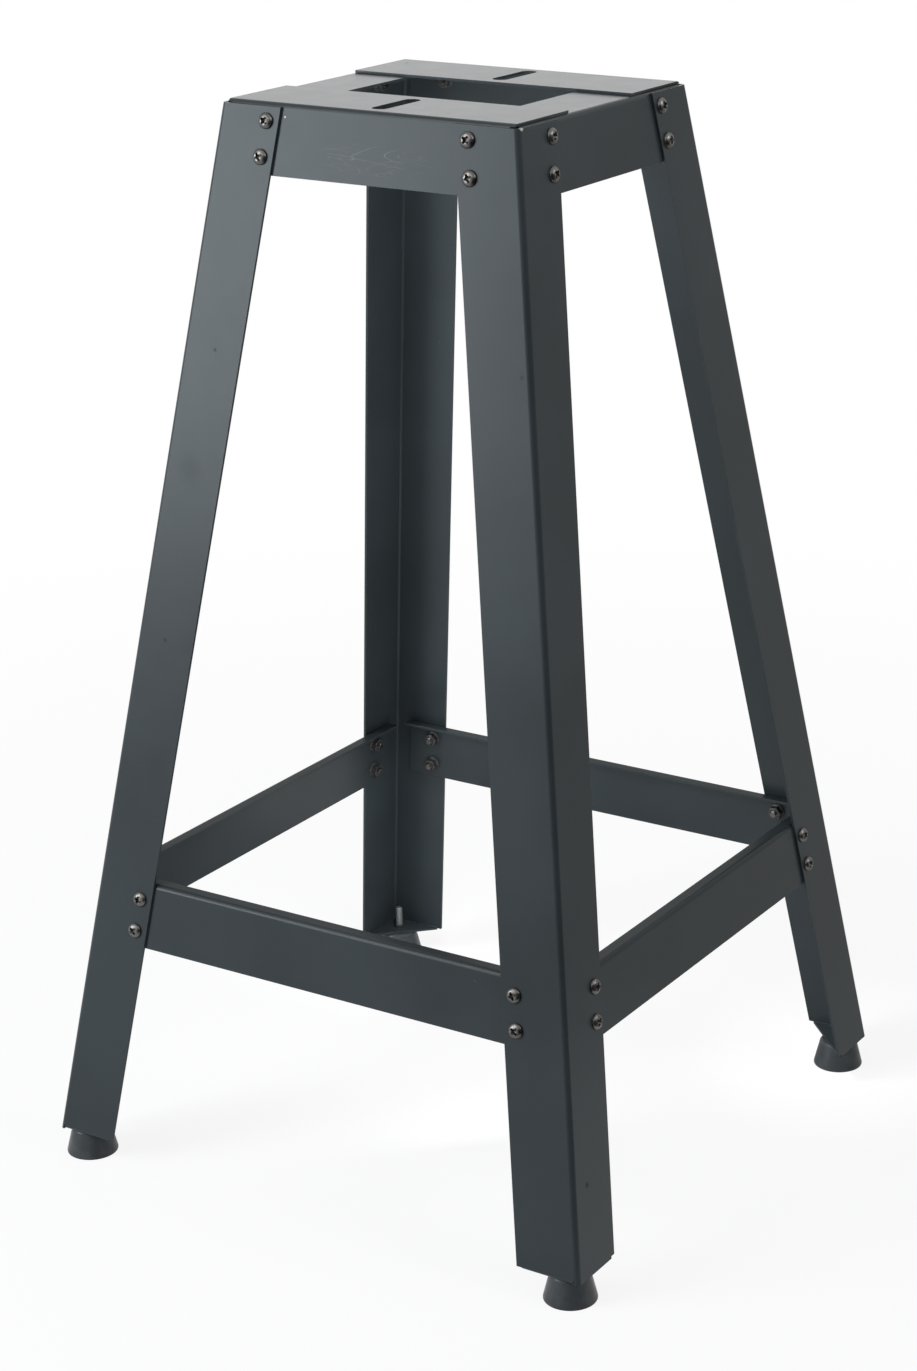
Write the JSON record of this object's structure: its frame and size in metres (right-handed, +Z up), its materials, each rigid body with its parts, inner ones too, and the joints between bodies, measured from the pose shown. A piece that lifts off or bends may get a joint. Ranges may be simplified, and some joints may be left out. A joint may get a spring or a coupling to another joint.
{
  "type": "bench grinder stand",
  "caption": "Tall open stand for a bench grinder: splayed folded-angle legs, a slotted two-plate top, lower rails bolted between the legs and screw-in rubber feet.",
  "frame": {"origin": "centre of the footprint, on the floor", "axes": "+Z up, +X right, -Y the front"},
  "size_m": [0.4698, 0.463, 0.8],
  "materials": {
    "powder_coat": "satin dark grey powder coat",
    "screw_steel": "dark passivated steel, glossy",
    "nut_steel": "dark passivated steel",
    "zinc_steel": "bright zinc plate",
    "foot_rubber": "matte moulded black rubber"
  },
  "bodies": {
    "frame": {"leg_front_left": "powder_coat", "leg_front_right": "powder_coat", "leg_back_left": "powder_coat", "leg_back_right": "powder_coat", "top_plate_front": "powder_coat", "top_plate_back": "powder_coat", "top_rail_left": "powder_coat", "top_rail_right": "powder_coat", "lower_rail_front": "powder_coat", "lower_rail_back": "powder_coat", "lower_rail_left": "powder_coat", "lower_rail_right": "powder_coat", "top_screws_front": "screw_steel", "top_nuts_front": "nut_steel", "top_screws_back": "screw_steel", "top_nuts_back": "nut_steel", "top_screws_left": "screw_steel", "top_nuts_left": "nut_steel", "top_screws_right": "screw_steel", "top_nuts_right": "nut_steel", "lower_screws_front": "screw_steel", "lower_nuts_front": "nut_steel", "lower_screws_back": "screw_steel", "lower_nuts_back": "nut_steel", "lower_screws_left": "screw_steel", "lower_nuts_left": "nut_steel", "lower_screws_right": "screw_steel", "lower_nuts_right": "nut_steel"},
    "foot_front_left": {"rubber_foot_front_left": "foot_rubber"},
    "stud_front_left": {"foot_stud_front_left": "zinc_steel"},
    "foot_front_right": {"rubber_foot_front_right": "foot_rubber"},
    "stud_front_right": {"foot_stud_front_right": "zinc_steel"},
    "foot_back_left": {"rubber_foot_back_left": "foot_rubber"},
    "stud_back_left": {"foot_stud_back_left": "zinc_steel"},
    "foot_back_right": {"rubber_foot_back_right": "foot_rubber"},
    "stud_back_right": {"foot_stud_back_right": "zinc_steel"}
  },
  "joints": [
    {"name": "foot_front_left_height", "type": "slide", "parent": "frame", "child": "foot_front_left", "axis": [0, 0, -1], "range_m": [0, 0.015]},
    {"name": "stud_front_left_turn", "type": "hinge", "parent": "foot_front_left", "child": "stud_front_left", "pos_m": [-0.2154, -0.212, 0.03], "axis": [0, 0, -1], "range_deg": [0, 5400]},
    {"name": "foot_front_right_height", "type": "slide", "parent": "frame", "child": "foot_front_right", "axis": [0, 0, -1], "range_m": [0, 0.015]},
    {"name": "stud_front_right_turn", "type": "hinge", "parent": "foot_front_right", "child": "stud_front_right", "pos_m": [0.2154, -0.212, 0.03], "axis": [0, 0, -1], "range_deg": [0, 5400]},
    {"name": "foot_back_left_height", "type": "slide", "parent": "frame", "child": "foot_back_left", "axis": [0, 0, -1], "range_m": [0, 0.015]},
    {"name": "stud_back_left_turn", "type": "hinge", "parent": "foot_back_left", "child": "stud_back_left", "pos_m": [-0.2154, 0.212, 0.03], "axis": [0, 0, -1], "range_deg": [0, 5400]},
    {"name": "foot_back_right_height", "type": "slide", "parent": "frame", "child": "foot_back_right", "axis": [0, 0, -1], "range_m": [0, 0.015]},
    {"name": "stud_back_right_turn", "type": "hinge", "parent": "foot_back_right", "child": "stud_back_right", "pos_m": [0.2154, 0.212, 0.03], "axis": [0, 0, -1], "range_deg": [0, 5400]}
  ],
  "couplings": [
    {"joint": "stud_front_left_turn", "follows": "foot_front_left_height", "rad_per_m": 6283.2},
    {"joint": "stud_front_right_turn", "follows": "foot_front_right_height", "rad_per_m": 6283.2},
    {"joint": "stud_back_left_turn", "follows": "foot_back_left_height", "rad_per_m": 6283.2},
    {"joint": "stud_back_right_turn", "follows": "foot_back_right_height", "rad_per_m": 6283.2}
  ]
}
